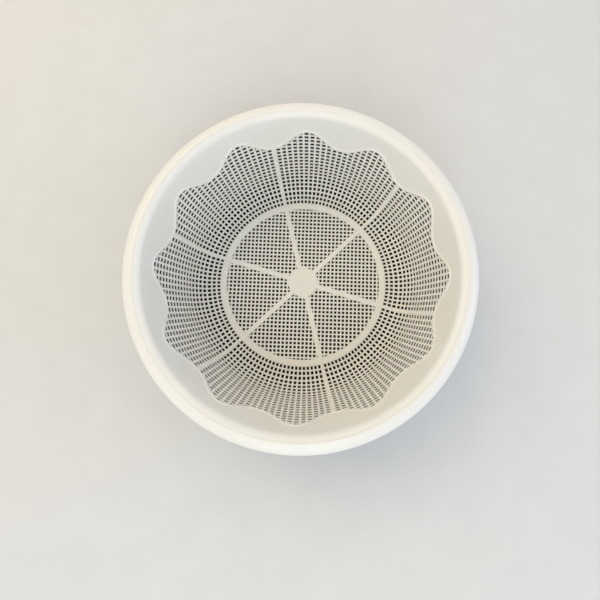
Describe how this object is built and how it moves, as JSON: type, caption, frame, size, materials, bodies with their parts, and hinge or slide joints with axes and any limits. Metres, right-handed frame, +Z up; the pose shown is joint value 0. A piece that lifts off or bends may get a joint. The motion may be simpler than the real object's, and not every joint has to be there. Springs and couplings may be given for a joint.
{
  "type": "colander with bowl",
  "caption": "Round fine-mesh colander with a scalloped mesh edge, ribbed wall and turned-down rim, hanging in a plain round bowl.",
  "frame": {"origin": "centre of the bowl's foot, on the surface that the set stands on", "axes": "+Z up along the axis of bowl and colander, +X and +Y along the square mesh of the colander's floor"},
  "size_m": [0.25, 0.25, 0.1],
  "materials": {
    "colander": "white moulded plastic, satin to gloss",
    "bowl": "dark moulded plastic, satin to gloss"
  },
  "bodies": {
    "bowl": {"bowl": "bowl"},
    "colander": {"colander": "colander"}
  },
  "joints": [
    {"name": "colander_lift", "type": "slide", "parent": "bowl", "child": "colander", "axis": [0, 0, 1], "range_m": [0, 0.12]}
  ]
}
